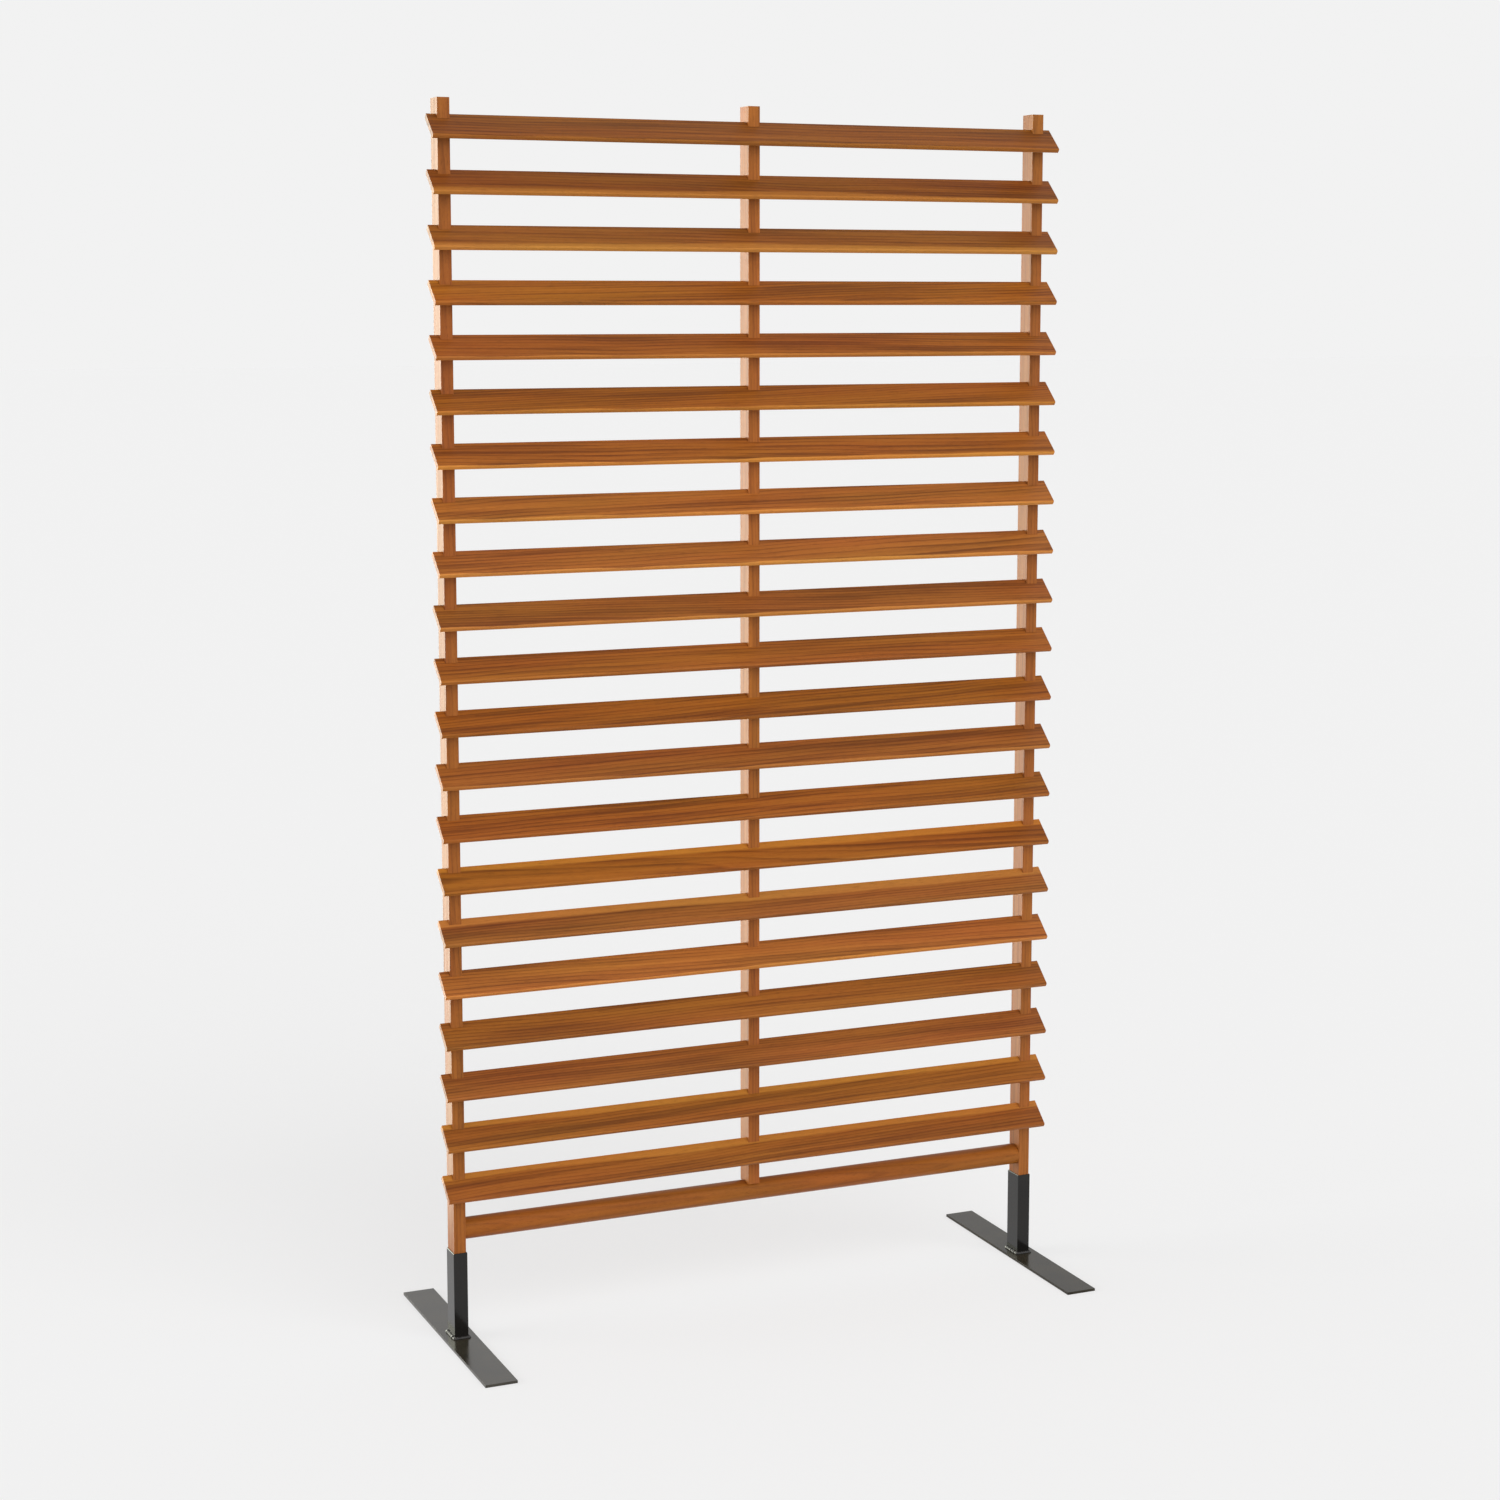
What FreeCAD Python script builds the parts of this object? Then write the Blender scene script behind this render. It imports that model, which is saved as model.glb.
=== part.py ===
"""Free-standing slatted screen: tilted hardwood slats housed in three posts, on two steel feet.

The posts carry angled slots in their front faces. Each slat's upper edge sits in those slots
and is held by a screw from behind. A round rail ties the side posts together near the floor,
the centre post stands on it, and the side posts slip into rectangular sockets on the feet.
X runs along the slats, the front faces -Y, and Z = 0 is the floor. All sizes are in mm.
"""
import FreeCAD
import Part
import Sketcher
import os
import re

DIMENSIONS = {
    # Slats
    "slat_count": 21,
    "slat_pitch": 76.2,
    "slat_overhang": 14,  # past the outer face of a side post
    "slat_width": 45,
    "slat_thickness": 8,
    "slat_tilt": 42,  # degrees that the top face falls towards the front
    "slat_nose": 2.4,  # radius on the two front edges
    "slat_housing": 7.4,  # depth of the upper edge behind the posts' front faces
    "slot_clearance": 0.1,
    # Posts
    "post_spacing": 940,  # between the centres of the side posts
    "post_width": 18,
    "post_depth": 31,
    "post_above_slats": 22.6,
    # Rail, round, with a turned tenon at each end
    "rail_diameter": 32,
    "rail_above_socket": 32,  # from the socket's rim up to the rail's axis
    "rail_to_slats": 85.8,  # from the rail's axis up to the lowest slat's upper edge
    "tenon_diameter": 16,
    "tenon_length": 12,
    "seat_depth": 3,  # flat cut in the rail under the centre post
    "dowel_diameter": 8,
    "dowel_length": 40,
    "joint_clearance": 0.05,
    "blind_gap": 0.5,
    # Screws, from the back of each post into each slat
    "screw_diameter": 3.5,
    "screw_head": 7,
    "screw_recess": 0.3,
    "screw_drop": 13,  # below the slat's upper edge
    "screw_reach": 2.6,  # past the post's front face
    # Feet
    "socket_height": 130,
    "socket_wall": 1.2,
    "socket_clearance": 0.3,
    "plate_length": 408,
    "plate_width": 48,
    "plate_thickness": 4,
    "weld_leg": 3,
}

CELL_NAMES = {alias: "Dimensions." + alias for alias in DIMENSIONS}

doc = FreeCAD.newDocument("SlattedScreen")
sheet = doc.addObject("Spreadsheet::Sheet", "Dimensions")
for row, (alias, number) in enumerate(DIMENSIONS.items(), start=1):
    sheet.set("A%d" % row, alias)
    sheet.set("B%d" % row, str(number))
    sheet.setAlias("B%d" % row, alias)
doc.recompute()


def cells(text):
    """An expression, with each bare alias replaced by the sheet's cell."""
    return re.sub("[a-z_]+", lambda word: CELL_NAMES.get(word.group(), word.group()), text)


def value(text):
    """The number that an expression gives now."""
    return float(sheet.evalExpression(cells(text)))


# Places that several pieces share, written with the sheet's cells
FRONT = "(0 - post_depth / 2)"
RAIL_HEIGHT = "(plate_thickness + socket_height + rail_above_socket)"
SEAT_HEIGHT = "(" + RAIL_HEIGHT + " + rail_diameter / 2 - seat_depth)"
LAST_SLAT = "(" + RAIL_HEIGHT + " + rail_to_slats)"
SLAT_STACK = "((slat_count - 1) * slat_pitch)"
FIRST_SLAT = "(" + LAST_SLAT + " + " + SLAT_STACK + ")"
POST_TOP = "(" + FIRST_SLAT + " + post_above_slats)"
RAIL_SPAN = "(post_spacing - post_width)"
SLAT_LENGTH = "(post_spacing + post_width + 2 * slat_overhang)"
SOCKET_INNER = {
    "width": "(post_width + 2 * socket_clearance)",
    "depth": "(post_depth + 2 * socket_clearance)",
}
SOCKET_OUTER = {side: "(" + inner + " + 2 * socket_wall)" for side, inner in SOCKET_INNER.items()}
WELD_OUTER = {side: "(" + outer + " + 2 * weld_leg)" for side, outer in SOCKET_OUTER.items()}
COSINE = "cos(slat_tilt * 1 deg)"
SINE = "sin(slat_tilt * 1 deg)"
POST_PLACES = {
    "left": "(0 - post_spacing / 2)",
    "centre": "0",
    "right": "(post_spacing / 2)",
}


def new_body(label, x="0", z="0"):
    """An empty body whose origin is at (x, 0, z)."""
    body = doc.addObject("PartDesign::Body", label)
    body.Label = label
    body.setExpression("Placement.Base.x", cells(x))
    body.setExpression("Placement.Base.z", cells(z))
    return body


def new_sketch(body, name, role, shift="0", rise="0"):
    """A sketch on one of the body's planes, moved along the normal and up its own Y axis."""
    sketch = body.newObject("Sketcher::SketchObject", name)
    plane = next(item for item in body.Origin.OriginFeatures if item.Role == role)
    sketch.AttachmentSupport = [(plane, "")]
    sketch.MapMode = "FlatFace"
    sketch.setExpression("AttachmentOffset.Base.y", cells(rise))
    sketch.setExpression("AttachmentOffset.Base.z", cells(shift))
    return sketch


def drive(sketch, constraint, text):
    """Adds a dimension and binds it to an expression."""
    index = sketch.addConstraint(constraint)
    sketch.setExpression("Constraints[%d]" % index, cells(text))


def polygon(sketch, corners):
    """A closed outline whose corners are pairs of expressions."""
    points = [FreeCAD.Vector(value(x), value(y), 0) for x, y in corners]
    count = len(points)
    first = sketch.GeometryCount
    for i in range(count):
        sketch.addGeometry(Part.LineSegment(points[i], points[(i + 1) % count]))
    for i in range(count):
        following = first + (i + 1) % count
        sketch.addConstraint(Sketcher.Constraint("Coincident", first + i, 2, following, 1))
    for i, (x, y) in enumerate(corners):
        across = Sketcher.Constraint("DistanceX", -1, 1, first + i, 1, points[i].x)
        upward = Sketcher.Constraint("DistanceY", -1, 1, first + i, 1, points[i].y)
        drive(sketch, across, x)
        drive(sketch, upward, y)


def rectangle(sketch, width, depth):
    """A rectangle centred on the sketch's origin."""
    right = width + " / 2"
    left = "0 - " + right
    top = depth + " / 2"
    bottom = "0 - " + top
    polygon(sketch, [(left, bottom), (right, bottom), (right, top), (left, top)])


def circle(sketch, diameter, x="0", y="0"):
    """A circle whose diameter and centre are expressions."""
    centre = FreeCAD.Vector(value(x), value(y), 0)
    up = FreeCAD.Vector(0, 0, 1)
    index = sketch.addGeometry(Part.Circle(centre, up, value(diameter) / 2))
    drive(sketch, Sketcher.Constraint("Diameter", index, value(diameter)), diameter)
    drive(sketch, Sketcher.Constraint("DistanceX", -1, 1, index, 3, centre.x), x)
    drive(sketch, Sketcher.Constraint("DistanceY", -1, 1, index, 3, centre.y), y)


def pad(body, name, sketch, length, both_ways=False):
    """A pad of the sketch, along its normal or half each way."""
    feature = body.newObject("PartDesign::Pad", name)
    feature.Profile = sketch
    feature.Midplane = both_ways
    feature.setExpression("Length", cells(length))
    return feature


def pocket(body, name, sketch, length, along_normal=False, both_ways=False):
    """A cut of the sketch, against its normal, along it, or half each way."""
    feature = body.newObject("PartDesign::Pocket", name)
    feature.Profile = sketch
    feature.Reversed = along_normal
    feature.Midplane = both_ways
    feature.setExpression("Length", cells(length))
    return feature


def repeat_down(body, name, features):
    """Repeats features once for each slat, going down the screen."""
    pattern = body.newObject("PartDesign::LinearPattern", name)
    axis = next(item for item in body.Origin.OriginFeatures if item.Role == "Z_Axis")
    pattern.Originals = features
    pattern.Direction = (axis, [""])
    pattern.Reversed = True
    pattern.setExpression("Length", cells(SLAT_STACK))
    pattern.setExpression("Occurrences", cells("slat_count"))
    body.Tip = pattern
    return pattern


def slat_outline(clearance):
    """Corners of a slat's section, grown by a clearance, with the upper edge at the sketch's X axis."""
    before = "(0 - " + clearance + ")"
    wide = "(slat_width + " + clearance + ")"
    deep = "(slat_thickness + " + clearance + ")"

    def corner(along, into):
        """A point so far down the slat from its upper edge, and so far in from its top face."""
        y = FRONT + " + slat_housing - " + along + " * " + COSINE + " + " + into + " * " + SINE
        z = "0 - " + along + " * " + SINE + " - " + into + " * " + COSINE
        return y, z

    return [corner(before, before), corner(wide, before), corner(wide, deep), corner(before, deep)]


def screw_outline(clearance):
    """Half section of a countersunk screw along Y, from the post's back face to the tip."""
    shank = "(screw_diameter / 2 + " + clearance + ")"
    head = "(screw_head / 2 + " + clearance + ")"
    outer = "(post_depth / 2 - screw_recess)"
    neck = "(" + outer + " - " + head + " + " + shank + ")"
    tip = "(" + FRONT + " - screw_reach - " + clearance + ")"
    taper = "(" + tip + " + screw_diameter)"
    return [(tip, "0"), (outer, "0"), (outer, head), (neck, shank), (taper, shank)]


def make_slat(number):
    """One slat: a flat bar with a rounded front edge and a pilot hole at each post."""
    body = new_body("slat_%02d" % number, z=FIRST_SLAT + " - %d * slat_pitch" % (number - 1))
    section = new_sketch(body, "SlatSection", "YZ_Plane")
    polygon(section, slat_outline("0"))
    bar = pad(body, "SlatBar", section, SLAT_LENGTH, both_ways=True)
    doc.recompute()
    edges = bar.Shape.Edges
    long_edges = [i for i, edge in enumerate(edges) if edge.BoundBox.XLength > value("slat_width")]
    long_edges.sort(key=lambda i: edges[i].BoundBox.YMin)
    nose = body.newObject("PartDesign::Fillet", "SlatNose")
    nose.Base = (bar, ["Edge%d" % (i + 1) for i in long_edges[:2]])
    nose.setExpression("Radius", cells("slat_nose"))
    holes = new_sketch(body, "PilotHoles", "XZ_Plane")
    for place in POST_PLACES.values():
        circle(holes, "(screw_diameter + 2 * joint_clearance)", place, "0 - screw_drop")
    pocket(body, "PilotCut", holes, "post_depth / 2 + screw_reach + blind_gap", along_normal=True)
    return body


def make_post(side):
    """One post: slotted for the slats in front and drilled for their screws from behind."""
    foot = SEAT_HEIGHT if side == "centre" else "plate_thickness"
    body = new_body(side + "_post", x=POST_PLACES[side])
    section = new_sketch(body, "PostSection", "XY_Plane", shift=foot)
    rectangle(section, "post_width", "post_depth")
    pad(body, "PostBar", section, POST_TOP + " - " + foot)
    if side == "centre":
        end = new_sketch(body, "DowelHole", "XY_Plane", shift=foot)
        circle(end, "(dowel_diameter + 2 * joint_clearance)")
        pocket(body, "DowelCut", end, "dowel_length / 2 + blind_gap", along_normal=True)
    else:
        inner_face = "post_width / 2" if side == "left" else "0 - post_width / 2"
        bore = new_sketch(body, "TenonHole", "YZ_Plane", shift=inner_face, rise=RAIL_HEIGHT)
        circle(bore, "(tenon_diameter + 2 * joint_clearance)")
        pocket(body, "TenonCut", bore, "tenon_length + blind_gap", along_normal=side == "right")
    slot = new_sketch(body, "SlatSlot", "YZ_Plane", rise=FIRST_SLAT)
    polygon(slot, slat_outline("slot_clearance"))
    slot_cut = pocket(body, "SlotCut", slot, "2 * post_width", both_ways=True)
    hole = new_sketch(body, "ScrewHole", "YZ_Plane", rise=FIRST_SLAT + " - screw_drop")
    outline = screw_outline("joint_clearance")
    mouth = "(post_depth / 2 + screw_recess)"
    mouth_radius = outline[2][1]
    outline[1:3] = [(mouth, "0"), (mouth, mouth_radius), (outline[2][0], mouth_radius)]
    polygon(hole, outline)
    hole_cut = body.newObject("PartDesign::Groove", "ScrewCut")
    hole_cut.Profile = hole
    hole_cut.ReferenceAxis = (hole, ["H_Axis"])
    repeat_down(body, "SlatRepeat", [slot_cut, hole_cut])
    return body


def make_screws(side):
    """The screws of one post, one solid for each slat."""
    body = new_body(side + "_post_screws", x=POST_PLACES[side])
    body.AllowCompound = True
    section = new_sketch(body, "ScrewSection", "YZ_Plane", rise=FIRST_SLAT + " - screw_drop")
    polygon(section, screw_outline("0"))
    screw = body.newObject("PartDesign::Revolution", "Screw")
    screw.Profile = section
    screw.ReferenceAxis = (section, ["H_Axis"])
    repeat_down(body, "ScrewRepeat", [screw])
    return body


def make_rail():
    """The round rail, with its end tenons and the flat seat and dowel hole for the centre post."""
    body = new_body("bottom_rail", z=RAIL_HEIGHT)
    section = new_sketch(body, "RailSection", "YZ_Plane")
    circle(section, "rail_diameter")
    pad(body, "RailBar", section, RAIL_SPAN, both_ways=True)
    tenon = new_sketch(body, "TenonSection", "YZ_Plane")
    circle(tenon, "tenon_diameter")
    pad(body, "Tenons", tenon, RAIL_SPAN + " + 2 * tenon_length", both_ways=True)
    seat = new_sketch(body, "SeatOutline", "XZ_Plane")
    reach = "(post_width / 2 + slot_clearance)"
    floor = "rail_diameter / 2 - seat_depth"
    polygon(seat, [
        ("0 - " + reach, floor),
        (reach, floor),
        (reach, "rail_diameter"),
        ("0 - " + reach, "rail_diameter"),
    ])
    pocket(body, "SeatCut", seat, "2 * rail_diameter", both_ways=True)
    dowel = new_sketch(body, "DowelHole", "XY_Plane", shift=floor)
    circle(dowel, "(dowel_diameter + 2 * joint_clearance)")
    pocket(body, "DowelCut", dowel, "dowel_length / 2 + blind_gap")
    return body


def make_dowel():
    """The hidden dowel between the rail and the centre post."""
    body = new_body("centre_post_dowel", z=SEAT_HEIGHT)
    section = new_sketch(body, "DowelSection", "XY_Plane")
    circle(section, "dowel_diameter")
    pad(body, "Dowel", section, "dowel_length", both_ways=True)
    return body


def make_plate(side):
    """The flat bar that lies on the floor under a side post."""
    body = new_body(side + "_base_plate", x=POST_PLACES[side])
    section = new_sketch(body, "PlateOutline", "XY_Plane")
    rectangle(section, "plate_width", "plate_length")
    pad(body, "Plate", section, "plate_thickness")
    return body


def make_socket(side):
    """The rectangular tube that a side post slips into."""
    body = new_body(side + "_socket", x=POST_PLACES[side], z="plate_thickness")
    outer = new_sketch(body, "TubeOutside", "XY_Plane")
    rectangle(outer, SOCKET_OUTER["width"], SOCKET_OUTER["depth"])
    pad(body, "Tube", outer, "socket_height")
    inner = new_sketch(body, "TubeInside", "XY_Plane")
    rectangle(inner, SOCKET_INNER["width"], SOCKET_INNER["depth"])
    pocket(body, "TubeBore", inner, "socket_height", along_normal=True)
    return body


def make_weld(side):
    """The fillet weld round the foot of a socket."""
    body = new_body(side + "_weld_bead", x=POST_PLACES[side], z="plate_thickness")
    outer = new_sketch(body, "WeldOutside", "XY_Plane")
    rectangle(outer, WELD_OUTER["width"], WELD_OUTER["depth"])
    top = new_sketch(body, "WeldTop", "XY_Plane", shift="weld_leg")
    rectangle(top, SOCKET_OUTER["width"], SOCKET_OUTER["depth"])
    slope = body.newObject("PartDesign::AdditiveLoft", "WeldSlope")
    slope.Profile = outer
    slope.Sections = [top]
    slope.Ruled = True
    inner = new_sketch(body, "WeldInside", "XY_Plane")
    rectangle(inner, SOCKET_OUTER["width"], SOCKET_OUTER["depth"])
    pocket(body, "WeldBore", inner, "weld_leg", along_normal=True)
    return body


sub_parts = [make_slat(number) for number in range(1, int(value("slat_count")) + 1)]
for post_side in POST_PLACES:
    sub_parts.append(make_post(post_side))
    sub_parts.append(make_screws(post_side))
sub_parts.append(make_rail())
sub_parts.append(make_dowel())
for foot_side in ("left", "right"):
    sub_parts.append(make_plate(foot_side))
    sub_parts.append(make_socket(foot_side))
    sub_parts.append(make_weld(foot_side))
doc.recompute()

failed = [item.Label for item in doc.Objects if {"Invalid", "Error"} & set(item.State)]
if failed:
    raise RuntimeError("these objects failed: " + ", ".join(failed))
for part in sub_parts:
    if part.Shape.isNull() or not part.Shape.isValid():
        raise RuntimeError(part.Label + " has no valid shape")

os.makedirs("parts", exist_ok=True)
for part in sub_parts:
    part.Shape.exportStep("parts/" + part.Label + ".step")
    print("%-24s solids %2d  volume %.1f" % (part.Label, len(part.Shape.Solids), part.Shape.Volume))
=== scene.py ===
"""Looks of a free-standing slatted hardwood screen on black steel feet."""
import math
import random

import bmesh
import bpy
from mathutils import Euler, Matrix, Vector


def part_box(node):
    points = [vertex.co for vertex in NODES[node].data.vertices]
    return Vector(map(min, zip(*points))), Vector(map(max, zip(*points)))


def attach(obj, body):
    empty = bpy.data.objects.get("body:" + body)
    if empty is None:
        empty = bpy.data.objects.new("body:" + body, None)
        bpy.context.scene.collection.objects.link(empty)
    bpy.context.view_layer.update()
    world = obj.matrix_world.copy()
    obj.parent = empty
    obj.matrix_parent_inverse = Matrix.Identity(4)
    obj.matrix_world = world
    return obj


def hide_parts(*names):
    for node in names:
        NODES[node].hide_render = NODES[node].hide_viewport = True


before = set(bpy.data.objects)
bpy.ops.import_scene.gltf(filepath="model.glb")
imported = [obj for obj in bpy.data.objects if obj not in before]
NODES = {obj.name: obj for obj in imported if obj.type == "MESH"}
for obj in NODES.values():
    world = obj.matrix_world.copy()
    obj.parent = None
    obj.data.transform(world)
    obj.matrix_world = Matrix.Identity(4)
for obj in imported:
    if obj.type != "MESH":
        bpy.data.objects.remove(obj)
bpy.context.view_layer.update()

MM = 0.001
RIGHT_ANGLE = math.radians(90)

# Camera: place in metres, angles in degrees, lens and sensor in millimetres
CAMERA_PLACE = (-1.6466, -3.8107, 1.5181)
CAMERA_YAW = 23.37
CAMERA_PITCH = 7.92
CAMERA_LENS = 67.1
CAMERA_SENSOR = 36
CAMERA_SHIFT = -0.04
CAMERA_REACH = 200

# Backdrop and floor; the greys are linear
PALE = 0.887
SKY_LIGHT = 0.5
FLOOR_COLOUR = 0.90
# How much of the floor's look is the backdrop's grey; the rest keeps the shadow
FLOOR_EVENNESS = 0.7
FLOOR_REACH = 60.0
FLOOR_DROP = 0.2 * MM

# Lamps; softness and spread are in degrees
KEY = {"towards": (0.20, -0.84, 0.50), "level": 0.62, "soft": 65}
SIDE = {"towards": (-0.97, 0.20, 0.10), "level": 1.05, "soft": 50}
# A softbox with a grid behind the object: it only shines as a reflection, mostly on faces to the left
SOFTBOX = {
    "place": (-0.45, 0.62, 0.95),
    "facing": (0.40, -0.90, 0.0),
    "width": 2.4,
    "height": 1.9,
    "watts": 18,
    "spread": 70,
    "colour": (0.97, 0.98, 0.81),
}

# The screen's pieces, and how each wooden piece's own axes are turned
POST_SIDES = ("left", "centre", "right")
FOOT_SIDES = ("left", "right")
SLAT_COUNT = 21
SLAT_HALF_WIDTH = 22.5 * MM
SLAT_TURN = (math.radians(42), 0, 0)
UPRIGHT_TURN = (0, -RIGHT_ANGLE, 0)
LEVEL_TURN = (0, 0, 0)

# Eased edges
EASE_STEPS = 2
EASE_ANGLE = math.radians(40)
JOIN_DISTANCE = 0.005 * MM
SLAT_EASE = 0.5 * MM
POST_EASE = 0.7 * MM
RAIL_EASE = 0.6 * MM
PLATE_EASE = 0.6 * MM
SOCKET_EASE = 0.8 * MM

# Wood colours, linear
WOOD_DARK = (0.140, 0.039, 0.0080)
WOOD_MAIN = (0.281, 0.084, 0.0135)
WOOD_LIGHT = (0.368, 0.120, 0.0195)
SAPWOOD = (0.540, 0.205, 0.0340)
PORE_COLOUR = [part * 0.35 for part in WOOD_DARK]

# Noise in the wood: cells in a metre along the grain and across it
SWAY = {"along": 2.2, "across": 9.0, "detail": 2.0}
STREAKS = {"along": 3.0, "across": 130.0, "detail": 3.0, "roughness": 0.55}
BANDS = {"along": 1.6, "across": 48.0, "detail": 2.0}
FIBRES = {"along": 26.0, "across": 900.0, "detail": 3.0, "roughness": 0.6}
PORES = {"along": 60.0, "across": 2600.0, "detail": 1.0, "roughness": 0.4}
PATCHES = {"along": 2.6, "across": 26.0, "detail": 2.0}
NOSE_HIGHLIGHT_NOISE = {"along": 7.0, "across": 40.0, "detail": 3.0}

# The figure: each pattern's share, the usual sum, and the level that this sum is given
LATE_SHARE = 0.24
STREAK_SHARE = 0.80
BAND_SHARE = 0.50
FIBRE_SHARE = 0.16
FIGURE_SUM = 0.79
FIGURE_LEVEL = 0.76
FIGURE_COLOURS = ((0.42, WOOD_LIGHT), (0.74, WOOD_MAIN), (1.0, WOOD_DARK))
# Darkness through one year's ring, and of the pores by their noise
RING_LEVELS = ((0.0, 0.15), (0.55, 0.35), (0.86, 1.0), (1.0, 0.15))
PORE_LEVELS = ((0.60, 0.0), (0.74, 0.5))
RING_SWAY = 0.024

# What each piece of wood draws at random: where the tree's heart lies, its rings and its colour
HEART_ALONG = (-4, 4)
HEART_ASIDE = (0.02, 0.07)
HEART_BEHIND = (-0.05, 0.05)
HEART_PITCH = (-0.015, 0.015)
HEART_YAW = (-0.04, 0.04)
RINGS_IN_A_METRE = (150, 230)
HUE_TURN = (0.0003, 0.0027)
SATURATION = (0.98, 1.015)
BRIGHTNESS = (0.97, 1.05)

# Hue along a piece, in the units of Blender's node, and the wood's surface
SAME_HUE = 0.5
HUE_SWING = 0.005
PATCH_RANGE = (0.3, 0.7)
FIBRE_HEIGHT = 0.6
PORE_HEIGHT = -1.0
WOOD_ROUGHNESS = (0.36, 0.52)
WOOD_GLOSS = 0.15

# Slats with a band of sapwood: +1 along the upper edge, -1 along the front edge
SAP_EDGES = {2: -1, 3: -1, 15: 1, 16: 1, 20: 1, 21: 1}
# Where such a band starts, in half widths of the slat, drawn at random
SAP_START = {1: (0.22, 0.45), -1: (0.55, 0.75)}
SAP_WANDER = 0.02
SAP_BLEND = 4.5 * MM
SAP_COVER = 0.85
SAP_FIBRES = 0.6

# Painted highlight: slats with a pale line painted along the front edge, where a lamp's gloss would fall,
# and how pale it is; the other slats get a faint one
NOSE_HIGHLIGHTS = {
    1: 0.4, 2: 0.7, 3: 0.7, 5: 0.45, 6: 0.6, 7: 0.75,
    8: 0.5, 9: 0.6, 10: 0.7, 13: 0.4, 17: 0.45,
}
FAINTEST_NOSE_HIGHLIGHT = 0.12
# Uneven noise carries the painted highlight in from just outside the edge
HIGHLIGHT_REACH = 8 * MM
HIGHLIGHT_OUTSIDE = 2.2 * MM
HIGHLIGHT_BLEND = 1.5 * MM

# Pieces that are darker or paler than the rest, or have less figure
SLAT_TONES = {
    1: 0.81, 2: 0.77, 3: 0.90, 4: 1.08, 7: 1.18,
    8: 1.25, 9: 1.23, 11: 1.08, 14: 1.08, 17: 1.33,
}
# Painted light: the centre and right posts are paler copies of the same wood, so that their left faces come
# out brighter under the side light
POST_LIGHT_TONES = {"left": 1.0, "centre": 1.25, "right": 1.12}
DOWEL_TONE = 1.4
POST_CONTRAST = 0.6
RAIL_CONTRAST = 0.4

# Seeds of the random draws; a slat's seed is its number
POST_SEED = 40
RAIL_SEED = 53
DOWEL_SEED = 60

# Metal: linear colours from the darkest to the palest patches, and roughness from the least to the most
PLATE_SHADES = ((0.017, 0.014, 0.009), (0.040, 0.034, 0.022))
PLATE_ROUGHNESS = (0.12, 0.30)
# The right plate's coat is duller than the left's
PLATE_GLOSS = {"left": 0.50, "right": 0.17}
TUBE_SHADES = ((0.0050, 0.0045, 0.0040), (0.0085, 0.0075, 0.0062))
TUBE_ROUGHNESS = (0.09, 0.16)
TUBE_GLOSS = 0.36
WELD_SHADES = ((0.006, 0.0055, 0.005), (0.022, 0.020, 0.018))
SCREW_SHADES = ((0.26, 0.25, 0.24), (0.38, 0.37, 0.35))
SCREW_ROUGHNESS = (0.35, 0.55)

# Weld beads: the drops' length, their size in shares of the bead's leg, and the steps of the mesh
DROP_LENGTH = 3.4 * MM
DROP_SWELL = (0.95, 1.35)
DROP_LEAST = 0.80
DROP_CREST = 0.20
DROP_ROUNDNESS = 0.6
BEAD_STEP = 0.35 * MM
BEAD_PROFILE_STEPS = 7
BEAD_CORNER_STEPS = 6
SAME_POINT = 0.001 * MM

# Screws; the cross recess is in shares of the head's radius, and its floor in shares of its mouth
SCREW_NECK = 1.75 * MM
SCREW_SIDES = 24
RECESS_ARM = 0.56
RECESS_HALF_WIDTH = 0.13
RECESS_DEPTH = 0.42
RECESS_FLOOR = 0.55


def grey(level):
    return (level, level, level)


def opaque(colour):
    return (*colour, 1.0)


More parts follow.
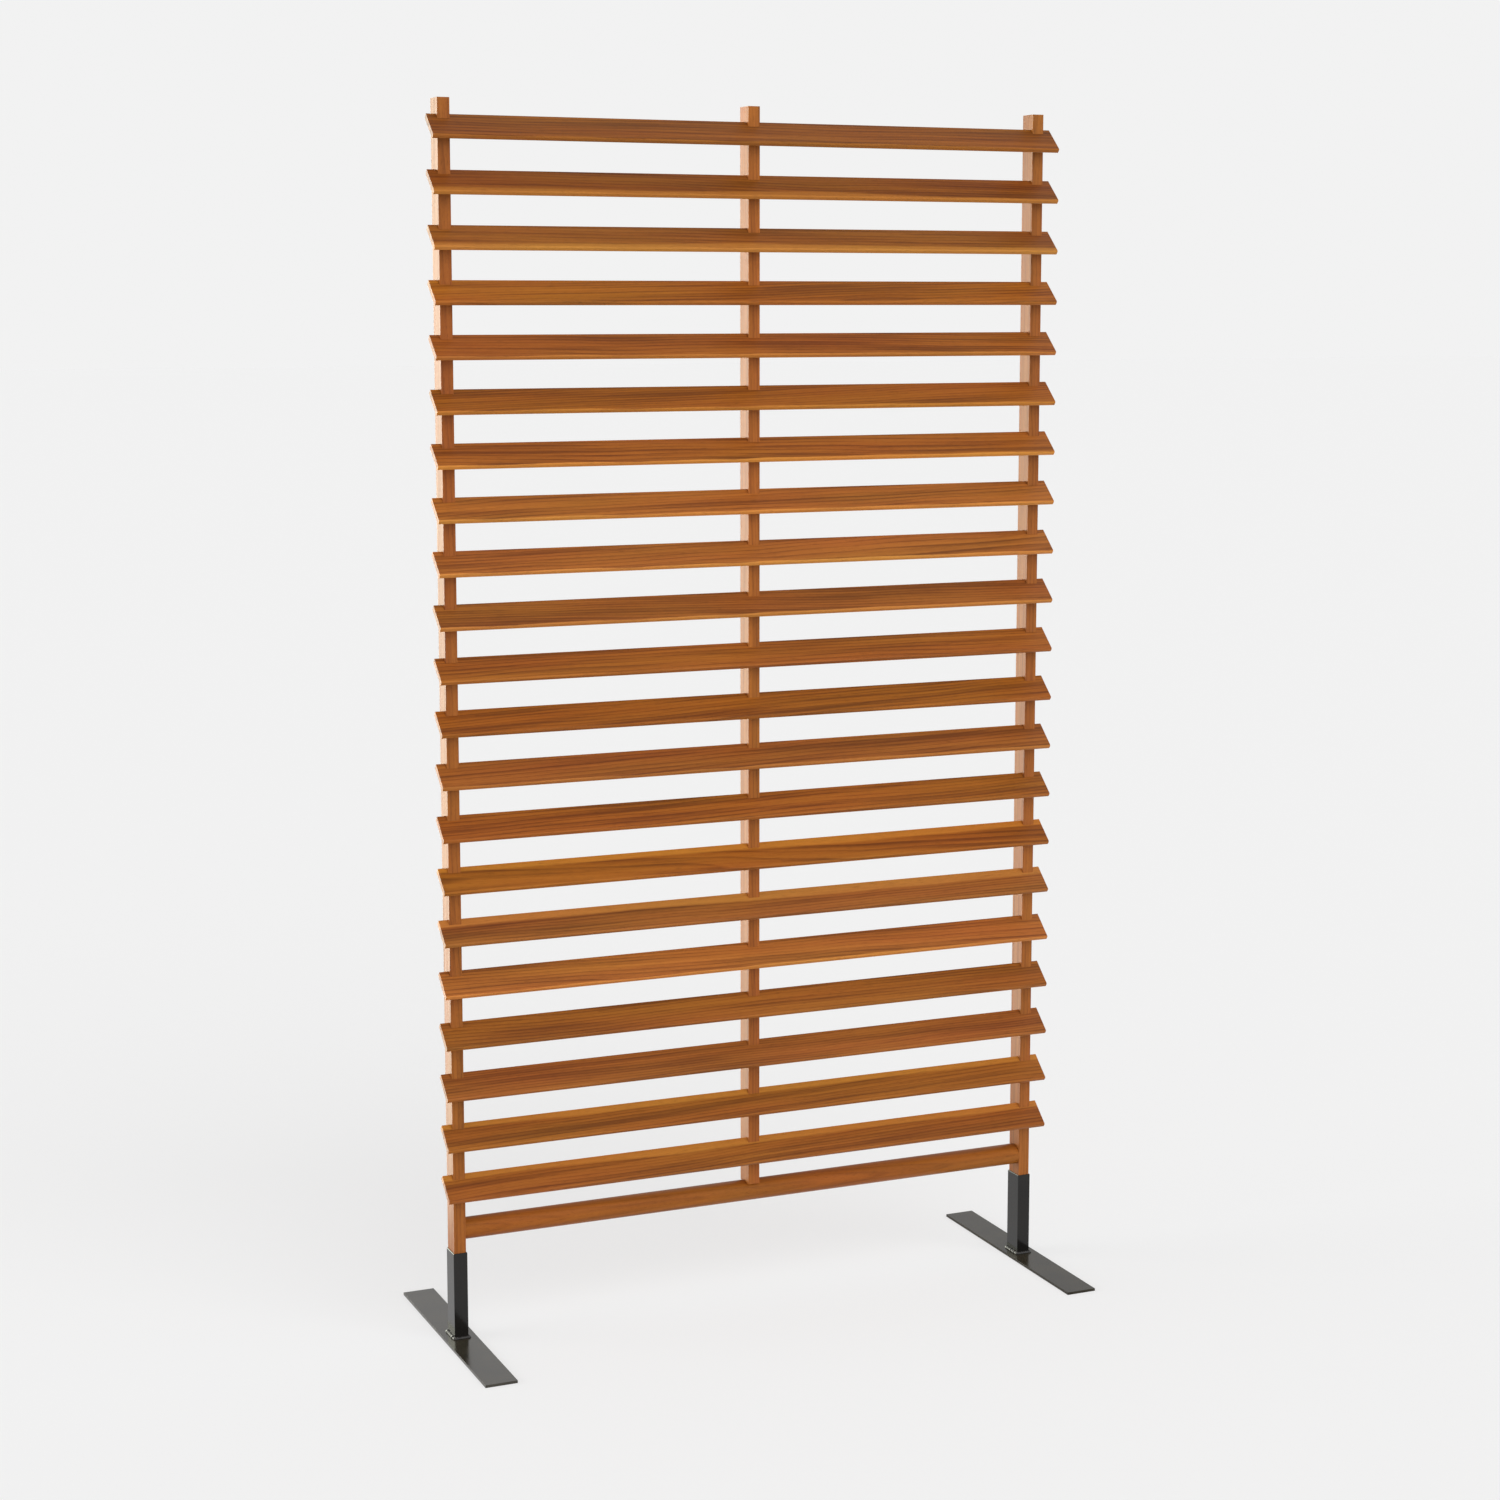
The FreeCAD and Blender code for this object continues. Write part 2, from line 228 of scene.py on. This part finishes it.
class Shader:
    """A node tree, with short ways to add and link nodes."""

    def __init__(self, name="", tree=None):
        """Starts a new material, or empties the tree that is given."""
        self.material = None
        self.tree = tree
        if tree is None:
            self.material = bpy.data.materials.new(name)
            self.material.use_nodes = True
            self.tree = self.material.node_tree
        self.tree.nodes.clear()

    def add(self, kind, settings=None, **inputs):
        """Adds a node, sets its properties and its inputs, and returns it."""
        node = self.tree.nodes.new(kind)
        for key, setting in (settings or {}).items():
            setattr(node, key, setting)
        for key, given in inputs.items():
            self.feed(node, key.replace("_", " "), given)
        return node

    def feed(self, node, key, given):
        """Links an output to an input, or sets the input's value; key is a name or a number."""
        socket = node.inputs[key]
        if isinstance(given, bpy.types.NodeSocket):
            self.tree.links.new(given, socket)
        else:
            socket.default_value = given

    def place(self):
        """The object's own coordinates."""
        return self.add("ShaderNodeTexCoord").outputs["Object"]

    def axes(self, kind, vector, location, rotation):
        """The vector in other axes."""
        settings = {"vector_type": kind}
        node = self.add("ShaderNodeMapping", settings, Vector=vector, Location=location, Rotation=rotation)
        return node.outputs[0]

    def split(self, vector):
        return self.add("ShaderNodeSeparateXYZ", Vector=vector).outputs

    def math(self, operation, *values):
        node = self.add("ShaderNodeMath", {"operation": operation})
        for index, given in enumerate(values):
            self.feed(node, index, given)
        return node.outputs[0]

    def total(self, *parts):
        """The sum of some values, each times its share."""
        terms = [self.math("MULTIPLY", given, share) for given, share in parts]
        result = terms[0]
        for term in terms[1:]:
            result = self.math("ADD", result, term)
        return result

    def mix(self, factor, first, second):
        """A mix of two colours, which are the node's inputs 6 and 7 and its output 2."""
        node = self.add("ShaderNodeMix", {"data_type": "RGBA"})
        for index, given in ((0, factor), (6, first), (7, second)):
            self.feed(node, index, given)
        return node.outputs[2]

    def noise(self, vector, scale, detail, roughness):
        node = self.add("ShaderNodeTexNoise", Vector=vector, Scale=scale, Detail=detail, Roughness=roughness)
        return node.outputs["Fac"]

    def grain(self, vector, along, across, detail, roughness=0.5):
        """Noise that is drawn out along X."""
        stretch = self.add("ShaderNodeVectorMath", {"operation": "MULTIPLY"})
        self.feed(stretch, 0, vector)
        self.feed(stretch, 1, (along, across, across))
        return self.noise(stretch.outputs[0], 1.0, detail, roughness)

    def ramp(self, factor, stops):
        """A colour by the factor; the stops are places with a colour each."""
        node = self.add("ShaderNodeValToRGB", Fac=factor)
        elements = node.color_ramp.elements
        while len(elements) < len(stops):
            elements.new(0.5)
        for element, (place, colour) in zip(elements, stops):
            element.position = place
            element.color = opaque(colour)
        return node.outputs["Color"]

    def levels(self, factor, stops):
        """A grey by the factor; the stops are places with a level each."""
        return self.ramp(factor, [(place, grey(level)) for place, level in stops])

    def shade(self, factor, shades, start, end):
        """The first shade up to the start, the second from the end on."""
        return self.ramp(factor, ((start, shades[0]), (end, shades[1])))

    def map_range(self, given, source=(0.0, 1.0), target=(0.0, 1.0), interpolation="LINEAR"):
        """Carries a value from one range to another."""
        node = self.add("ShaderNodeMapRange", {"interpolation_type": interpolation}, Value=given)
        for key, end in zip(("From Min", "From Max", "To Min", "To Max"), (*source, *target)):
            self.feed(node, key, end)
        return node.outputs[0]

    def bump(self, height, strength, distance):
        return self.add("ShaderNodeBump", Height=height, Strength=strength, Distance=distance).outputs[0]

    def principled(self, **inputs):
        """Finishes the material with one principled surface."""
        return self.finish(self.add("ShaderNodeBsdfPrincipled", **inputs).outputs[0])

    def finish(self, surface, kind="ShaderNodeOutputMaterial"):
        """Links the surface to the tree's output."""
        self.add(kind, Surface=surface)
        return self.material


def wood(name, seed, centre, turn, sap_edge=0, tone=1.0, contrast=1.0, nose_highlight=0.0):
    """Oiled hardwood with its grain along the piece's own X axis.

    centre and turn place the piece's axes. A higher tone is paler, a higher contrast has more figure.
    sap_edge is the edge of a slat that is sapwood, and nose_highlight how pale the highlight painted along
    its front edge is.
    """
    draw = random.Random(seed)
    shader = Shader(name)
    own = shader.axes("TEXTURE", shader.place(), centre, turn)

    # The tree's heart runs along the piece at a slight slope, some way outside it
    off_axis = (draw.uniform(*HEART_ALONG), draw.uniform(*HEART_ASIDE), draw.uniform(*HEART_BEHIND))
    slope = (0, draw.uniform(*HEART_PITCH), draw.uniform(*HEART_YAW))
    heart = shader.axes("POINT", own, off_axis, slope)

    sway = shader.grain(heart, **SWAY)
    streaks = shader.grain(heart, **STREAKS)
    bands = shader.grain(heart, **BANDS)
    fibres = shader.grain(heart, **FIBRES)
    pores = shader.grain(heart, **PORES)
    patches = shader.grain(heart, **PATCHES)

    # Year rings round the heart
    apart = shader.split(heart)
    squares = [shader.math("POWER", apart[axis], 2.0) for axis in ("Y", "Z")]
    radius = shader.math("SQRT", shader.math("ADD", *squares))
    bent = shader.math("ADD", radius, shader.math("MULTIPLY", sway, RING_SWAY))
    rings = shader.math("FRACT", shader.math("MULTIPLY", bent, draw.uniform(*RINGS_IN_A_METRE)))
    late = shader.levels(rings, RING_LEVELS)

    parts = ((late, LATE_SHARE), (streaks, STREAK_SHARE), (bands, BAND_SHARE), (fibres, FIBRE_SHARE))
    figure = shader.math("SUBTRACT", shader.total(*parts), FIGURE_SUM)
    figure = shader.math("MULTIPLY_ADD", figure, contrast, FIGURE_LEVEL)
    colour = shader.ramp(figure, FIGURE_COLOURS)

    along_width = shader.split(own)["Y"]
    if sap_edge:
        wander = shader.math("MULTIPLY", shader.math("SUBTRACT", sway, 0.5), SAP_WANDER)
        edge = shader.math("ADD", shader.math("MULTIPLY", along_width, sap_edge), wander)
        limit = SLAT_HALF_WIDTH * draw.uniform(*SAP_START[sap_edge])
        band = shader.map_range(edge, (limit, limit + SAP_BLEND), interpolation="SMOOTHSTEP")
        browner = shader.math("MULTIPLY", fibres, SAP_FIBRES)
        sapwood = shader.mix(browner, opaque(SAPWOOD), opaque(WOOD_MAIN))
        colour = shader.mix(shader.math("MULTIPLY", band, SAP_COVER), colour, sapwood)

    # Painted highlight: a pale line in the sapwood's colour along the slat's front edge, where a lamp's
    # gloss would fall
    if nose_highlight:
        highlight_noise = shader.grain(own, **NOSE_HIGHLIGHT_NOISE)
        reach = shader.math("MULTIPLY_ADD", highlight_noise, HIGHLIGHT_REACH, -SLAT_HALF_WIDTH - HIGHLIGHT_OUTSIDE)
        ends = (reach, shader.math("SUBTRACT", reach, HIGHLIGHT_BLEND))
        highlight_band = shader.map_range(along_width, ends, interpolation="SMOOTHSTEP")
        colour = shader.mix(shader.math("MULTIPLY", highlight_band, nose_highlight), colour, opaque(SAPWOOD))

    dark_pores = shader.levels(pores, PORE_LEVELS)
    colour = shader.mix(dark_pores, colour, opaque(PORE_COLOUR))

    # Redder and more golden stretches along the piece
    middle_hue = SAME_HUE + draw.uniform(*HUE_TURN)
    hue = shader.map_range(patches, PATCH_RANGE, (middle_hue - HUE_SWING, middle_hue + HUE_SWING))
    toned = shader.add("ShaderNodeHueSaturation", Color=colour, Hue=hue)
    shader.feed(toned, "Saturation", draw.uniform(*SATURATION))
    shader.feed(toned, "Value", tone * draw.uniform(*BRIGHTNESS))

    height = shader.total((fibres, FIBRE_HEIGHT), (dark_pores, PORE_HEIGHT))
    return shader.principled(
        Base_Color=toned.outputs[0],
        Roughness=shader.map_range(streaks, target=WOOD_ROUGHNESS),
        Specular_IOR_Level=WOOD_GLOSS,
        Normal=shader.bump(height, strength=0.25, distance=0.12 * MM),
    )


def black_steel(name, seed, shades, roughness, gloss):
    """Black coated steel with a fine grain in the coat and faint rubbed patches."""
    shader = Shader(name)
    place = shader.place()
    patches = shader.noise(place, scale=22.0 + seed, detail=6.0, roughness=0.7)
    grain = shader.noise(place, scale=1400.0, detail=2.0, roughness=0.5)
    return shader.principled(
        Base_Color=shader.shade(patches, shades, start=0.3, end=0.7),
        Roughness=shader.map_range(patches, target=roughness),
        Specular_IOR_Level=gloss,
        Normal=shader.bump(grain, strength=0.08, distance=0.02 * MM),
    )


def weld_metal():
    """The coated weld: glossier than the plates, with paler spatter."""
    shader = Shader("weld_metal")
    spatter = shader.noise(shader.place(), scale=420.0, detail=3.0, roughness=0.6)
    return shader.principled(
        Base_Color=shader.shade(spatter, WELD_SHADES, start=0.35, end=0.75),
        Roughness=0.15,
        Specular_IOR_Level=0.5,
        Coat_Weight=0.35,
        Coat_Roughness=0.06,
        Normal=shader.bump(spatter, strength=0.5, distance=0.2 * MM),
    )


def screw_steel():
    """Plain steel screws, a little smeared."""
    shader = Shader("screw_steel")
    smear = shader.noise(shader.place(), scale=900.0, detail=3.0, roughness=0.6)
    return shader.principled(
        Base_Color=shader.shade(smear, SCREW_SHADES, start=0.3, end=0.7),
        Roughness=shader.map_range(smear, target=SCREW_ROUGHNESS),
        Metallic=1.0,
    )


def dress(node, material, ease=0.0):
    """Gives a CAD node its material and eases its edges."""
    piece = NODES[node]
    piece.data.materials.clear()
    piece.data.materials.append(material)
    if ease:
        join = piece.modifiers.new("Join", "WELD")
        join.merge_threshold = JOIN_DISTANCE
        bevel = piece.modifiers.new("Ease", "BEVEL")
        bevel.width = ease
        bevel.segments = EASE_STEPS
        bevel.limit_method = "ANGLE"
        bevel.angle_limit = EASE_ANGLE
        bevel.harden_normals = True


def middle(node):
    low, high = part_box(node)
    return (low + high) / 2


def dress_wood():
    """One wood material for each slat, post, rail and dowel."""
    for number in range(1, SLAT_COUNT + 1):
        node = "slat_%02d" % number
        traits = {
            "sap_edge": SAP_EDGES.get(number, 0),
            "tone": SLAT_TONES.get(number, 1.0),
            "nose_highlight": NOSE_HIGHLIGHTS.get(number, FAINTEST_NOSE_HIGHLIGHT),
        }
        dress(node, wood(node, number, middle(node), SLAT_TURN, **traits), SLAT_EASE)
    for index, side in enumerate(POST_SIDES):
        node = side + "_post"
        traits = {"tone": POST_LIGHT_TONES[side], "contrast": POST_CONTRAST}
        dress(node, wood(node, POST_SEED + index, middle(node), UPRIGHT_TURN, **traits), POST_EASE)
    node = "bottom_rail"
    dress(node, wood(node, RAIL_SEED, middle(node), LEVEL_TURN, contrast=RAIL_CONTRAST), RAIL_EASE)
    node = "centre_post_dowel"
    dress(node, wood("dowel", DOWEL_SEED, middle(node), UPRIGHT_TURN, tone=DOWEL_TONE))


def dress_feet():
    """Two coats of black steel for each foot, on its plate and on its socket."""
    for index, side in enumerate(FOOT_SIDES):
        plate = black_steel(side + "_plate_steel", index, PLATE_SHADES, PLATE_ROUGHNESS, PLATE_GLOSS[side])
        tube = black_steel(side + "_tube_steel", index, TUBE_SHADES, TUBE_ROUGHNESS, TUBE_GLOSS)
        dress(side + "_base_plate", plate, PLATE_EASE)
        dress(side + "_socket", tube, SOCKET_EASE)


def put(name, data):
    """Adds an object to the scene."""
    thing = bpy.data.objects.new(name, data)
    bpy.context.scene.collection.objects.link(thing)
    return thing


def add_piece(name, mesh, material, body, node):
    """Puts a finished bmesh in the scene in place of a CAD node."""
    bmesh.ops.recalc_face_normals(mesh, faces=mesh.faces)
    data = bpy.data.meshes.new(name)
    mesh.to_mesh(data)
    mesh.free()
    data.materials.append(material)
    piece = put(name, data)
    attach(piece, body)
    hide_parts(node)


def pairs(loop):
    """Each point of a closed loop with the next one."""
    return zip(loop, loop[1:] + loop[:1])


def join_loops(mesh, loops):
    """Faces between neighbouring closed loops of vertices, each with the same count."""
    for near, far in zip(loops, loops[1:]):
        for (first, second), (fourth, third) in zip(pairs(near), pairs(far)):
            mesh.faces.new((first, second, third, fourth))


def weld_stations(half_x, half_y):
    """Points and outward directions round a rectangle, fanned at its corners."""
    corners = ((half_x, -half_y), (half_x, half_y), (-half_x, half_y), (-half_x, -half_y))
    for start, end in pairs([Vector((x, y, 0)) for x, y in corners]):
        way = (end - start).normalized()
        outward = Vector((way.y, -way.x, 0))
        length = (end - start).length
        count = int(length / BEAD_STEP)
        for part in range(count + 1):
            yield start + way * (length * part / count), outward
        for part in range(1, BEAD_CORNER_STEPS):
            turn = RIGHT_ANGLE * part / BEAD_CORNER_STEPS
            yield end, outward * math.cos(turn) + way * math.sin(turn)


def make_welds():
    """Lumpy beads round the foot of each socket, laid in short overlapping drops."""
    material = weld_metal()
    for side in FOOT_SIDES:
        node = side + "_weld_bead"
        draw = random.Random(side)
        low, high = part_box(side + "_socket")
        weld_low, weld_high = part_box(node)
        foot = Vector(((low.x + high.x) / 2, (low.y + high.y) / 2, weld_low.z))
        leg = weld_high.z - weld_low.z
        half_x = (high.x - low.x) / 2
        half_y = (high.y - low.y) / 2
        mesh = bmesh.new()
        loops = [[] for _ in range(BEAD_PROFILE_STEPS + 2)]
        travelled = 0.0
        last = None
        swell = 1.0
        for point, outward in weld_stations(half_x, half_y):
            tip = point + outward * leg
            before = travelled
            travelled += (tip - last).length if last else 0.0
            last = tip
            if int(before / DROP_LENGTH) != int(travelled / DROP_LENGTH):
                swell = draw.uniform(*DROP_SWELL)
            phase = (travelled / DROP_LENGTH) % 1.0
            lump = math.sin(math.pi * phase) ** DROP_ROUNDNESS
            size = leg * swell * (DROP_LEAST + DROP_CREST * lump)
            loops[0].append(mesh.verts.new(foot + point))
            for step in range(BEAD_PROFILE_STEPS + 1):
                turn = RIGHT_ANGLE * step / BEAD_PROFILE_STEPS
                offset = outward * (size * math.cos(turn)) + Vector((0, 0, size * math.sin(turn)))
                loops[step + 1].append(mesh.verts.new(foot + point + offset))
        join_loops(mesh, loops + [loops[0]])
        # The fans at the corners start from one point each
        bmesh.ops.remove_doubles(mesh, verts=mesh.verts, dist=SAME_POINT)
        for face in mesh.faces:
            face.smooth = True
        add_piece(side + "_weld_drops", mesh, material, side + "_foot", node)


def add_screw(mesh, place, head, length):
    """One countersunk screw along -Y with a cross recess; place is the middle of its head."""
    arm = RECESS_ARM * head
    arm_half = RECESS_HALF_WIDTH * head

    def ring(radius, depth):
        turns = [2 * math.pi * index / SCREW_SIDES for index in range(SCREW_SIDES)]
        points = [Vector((radius * math.cos(t), -depth, radius * math.sin(t))) for t in turns]
        return [mesh.verts.new(place + point) for point in points]

    def cross(scale, depth):
        quarter = [(arm, -arm_half), (arm, arm_half), (arm_half, arm_half)]
        points = []
        for index in range(4):
            turn = Matrix.Rotation(RIGHT_ANGLE * index, 2)
            points += [turn @ Vector(point) for point in quarter]
        return [mesh.verts.new(place + Vector((p.x * scale, -depth, p.y * scale))) for p in points]

    rim = ring(head, 0.0)
    mouth = cross(1.0, 0.0)
    pit = cross(RECESS_FLOOR, RECESS_DEPTH * head)
    collar = ring(SCREW_NECK, head - SCREW_NECK)
    tip = ring(SCREW_NECK, length - SCREW_NECK)
    join_loops(mesh, [rim, collar, tip])
    join_loops(mesh, [mouth, pit])
    mesh.faces.new(pit)
    point = mesh.verts.new(place + Vector((0, -length, 0)))
    for first, second in pairs(tip):
        mesh.faces.new((first, second, point))
    # The head's face between its rim and the recess
    ends = [*pairs(rim), *pairs(mouth)]
    edges = [mesh.edges.get(pair) or mesh.edges.new(pair) for pair in ends]
    bmesh.ops.triangle_fill(mesh, edges=edges, use_beauty=True)


def make_screws():
    """The screws behind each post, one for each slat, with cross recesses in their heads."""
    material = screw_steel()
    for side in POST_SIDES:
        node = side + "_post_screws"
        low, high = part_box(node)
        head = (high.x - low.x) / 2
        pitch = (high.z - low.z - 2 * head) / (SLAT_COUNT - 1)
        mesh = bmesh.new()
        for index in range(SLAT_COUNT):
            place = Vector(((low.x + high.x) / 2, high.y, high.z - head - index * pitch))
            add_screw(mesh, place, head, high.y - low.y)
        add_piece(side + "_cross_screws", mesh, material, "panel", node)


def make_camera():
    data = bpy.data.cameras.new("camera")
    data.lens = CAMERA_LENS
    data.sensor_width = CAMERA_SENSOR
    data.shift_y = CAMERA_SHIFT
    data.clip_end = CAMERA_REACH
    camera = put("camera", data)
    camera.location = CAMERA_PLACE
    camera.rotation_euler = Euler((math.radians(90 - CAMERA_PITCH), 0, math.radians(-CAMERA_YAW)))
    bpy.context.scene.camera = camera


def make_sun(name, towards, level, soft):
    """A broad lamp, left out of reflections; level is how bright it makes white that faces it."""
    data = bpy.data.lights.new(name, "SUN")
    data.energy = level * math.pi
    data.angle = math.radians(soft)
    lamp = put(name, data)
    lamp.rotation_euler = Vector(towards).to_track_quat("Z", "Y").to_euler()
    lamp.visible_glossy = False


def make_softbox(place, facing, width, height, watts, spread, colour):
    """A lamp that is seen only in reflections."""
    data = bpy.data.lights.new("softbox", "AREA")
    data.shape = "RECTANGLE"
    data.size = width
    data.size_y = height
    data.energy = watts
    data.color = colour
    data.spread = math.radians(spread)
    lamp = put("softbox", data)
    lamp.location = place
    lamp.rotation_euler = Vector(facing).to_track_quat("-Z", "Y").to_euler()
    lamp.visible_camera = False
    lamp.visible_diffuse = False


def looked_at(shader):
    """1 for what the camera sees, straight on, mirrored or through glass, and 0 for what only lights."""
    path = shader.add("ShaderNodeLightPath").outputs
    mirrored = shader.math("MAXIMUM", path["Is Glossy Ray"], path["Is Transmission Ray"])
    return shader.math("MAXIMUM", path["Is Camera Ray"], mirrored)


def make_world():
    """Even light from all round, with a backdrop that looks pale."""
    world = bpy.data.worlds.new("studio")
    bpy.context.scene.world = world
    world.use_nodes = True
    shader = Shader(tree=world.node_tree)
    colour = shader.mix(looked_at(shader), opaque(grey(SKY_LIGHT)), opaque(grey(PALE)))
    light = shader.add("ShaderNodeBackground", Color=colour)
    shader.finish(light.outputs[0], "ShaderNodeOutputWorld")


def make_floor():
    """A wide pale floor that keeps a light shadow and otherwise equals the background."""
    shader = Shader("floor")
    matt = shader.add("ShaderNodeBsdfDiffuse", Color=opaque(grey(FLOOR_COLOUR)))
    pale = shader.add("ShaderNodeEmission", Color=opaque(grey(PALE)))
    evenness = shader.math("MULTIPLY", looked_at(shader), FLOOR_EVENNESS)
    mix = shader.add("ShaderNodeMixShader")
    for index, given in enumerate((evenness, matt.outputs[0], pale.outputs[0])):
        shader.feed(mix, index, given)
    size = FLOOR_REACH
    corners = [(-size, -size, 0), (size, -size, 0), (size, size, 0), (-size, size, 0)]
    mesh = bpy.data.meshes.new("floor")
    mesh.from_pydata(corners, [], [(0, 1, 2, 3)])
    mesh.materials.append(shader.finish(mix.outputs[0]))
    floor = put("floor", mesh)
    floor.location.z = -FLOOR_DROP


dress_wood()
dress_feet()
make_welds()
make_screws()
make_world()
make_sun("key", **KEY)
make_sun("side", **SIDE)
make_softbox(**SOFTBOX)
make_floor()
make_camera()
bpy.context.scene.view_settings.view_transform = "Standard"
